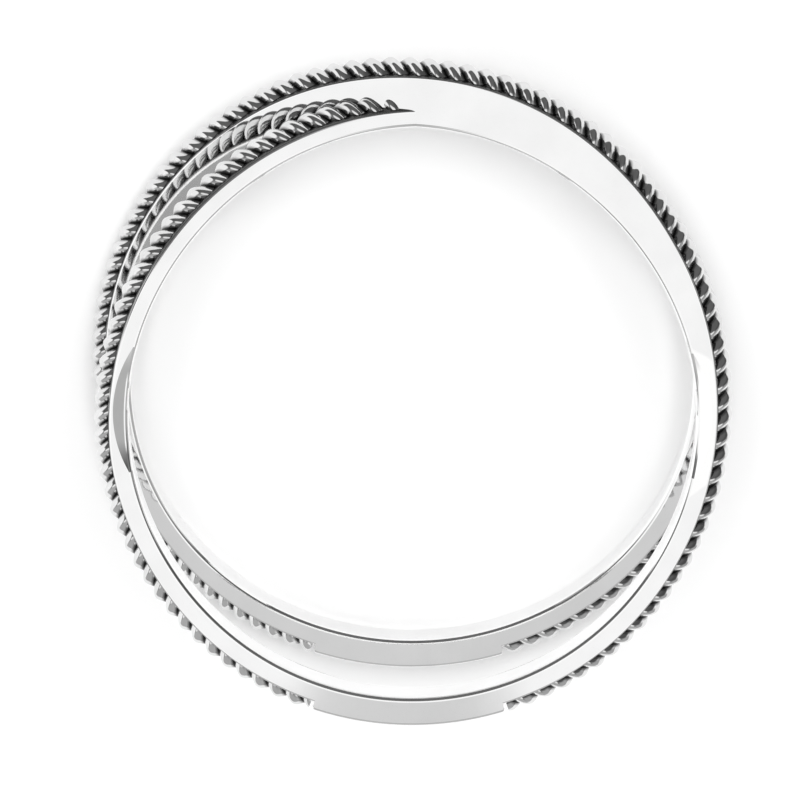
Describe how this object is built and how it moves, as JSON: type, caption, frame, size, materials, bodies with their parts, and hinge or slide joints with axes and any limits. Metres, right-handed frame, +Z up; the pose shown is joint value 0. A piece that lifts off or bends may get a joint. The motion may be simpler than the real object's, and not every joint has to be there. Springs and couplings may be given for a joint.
{
  "type": "crossover ring",
  "caption": "Polished silver finger ring: two flat bands, spread at the back, cross at the front, with twisted rope along their outer faces and a plain back.",
  "frame": {"origin": "centre of the ring's box, on the surface that the ring lies on", "axes": "+Z up from the surface, 4.5 degrees off the finger axis; +Y from the plain back towards the crossing; +X to the right seen from above with the crossing at the top"},
  "size_m": [0.0196, 0.0204, 0.007],
  "materials": {
    "polished_silver": "mirror polished white silver",
    "rope_silver": "polished silver, dark in the grooves of the twist"
  },
  "bodies": {
    "root": {"crossover_band": "polished_silver", "rope_over": "rope_silver", "rope_under_left": "rope_silver", "rope_under_right": "rope_silver"}
  },
  "joints": []
}
